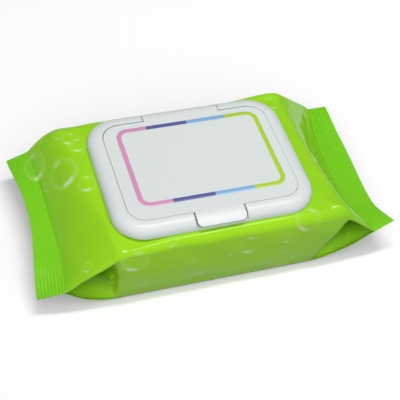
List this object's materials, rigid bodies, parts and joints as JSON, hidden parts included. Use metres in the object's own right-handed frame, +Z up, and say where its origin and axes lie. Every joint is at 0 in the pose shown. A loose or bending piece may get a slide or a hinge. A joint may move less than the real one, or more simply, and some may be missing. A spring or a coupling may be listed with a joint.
{
  "type": "wet wipes pack",
  "caption": "Soft film pack of wet wipes with tucked, crimped ends and a moulded cap whose hinged lid opens over the dispensing hole.",
  "frame": {"origin": "middle of the pack's flat underside", "axes": "+X along the pack's length, to the right in the picture; +Y towards the lid's hinge; +Z up, out of the cap"},
  "size_m": [0.165, 0.083, 0.0374],
  "materials": {
    "printed_film": "glossy lime green printed plastic film with pale rings",
    "moulded_cap": "satin white moulded polypropylene",
    "moulded_lid": "satin white moulded polypropylene",
    "label": "coated white label with a stripe of pink, navy, light blue and yellow-green round its edge",
    "seal_film": "silvery peel-off film"
  },
  "bodies": {
    "pack": {"pouch": "printed_film", "cap_frame": "moulded_cap", "peel_seal": "seal_film"},
    "lid": {"lid": "moulded_lid", "lid_label": "label"}
  },
  "joints": [
    {"name": "lid_hinge", "type": "hinge", "parent": "pack", "child": "lid", "pos_m": [-0.001, 0.0355, 0.03375], "axis": [-1, 0, 0], "range_deg": [0, 150]}
  ]
}
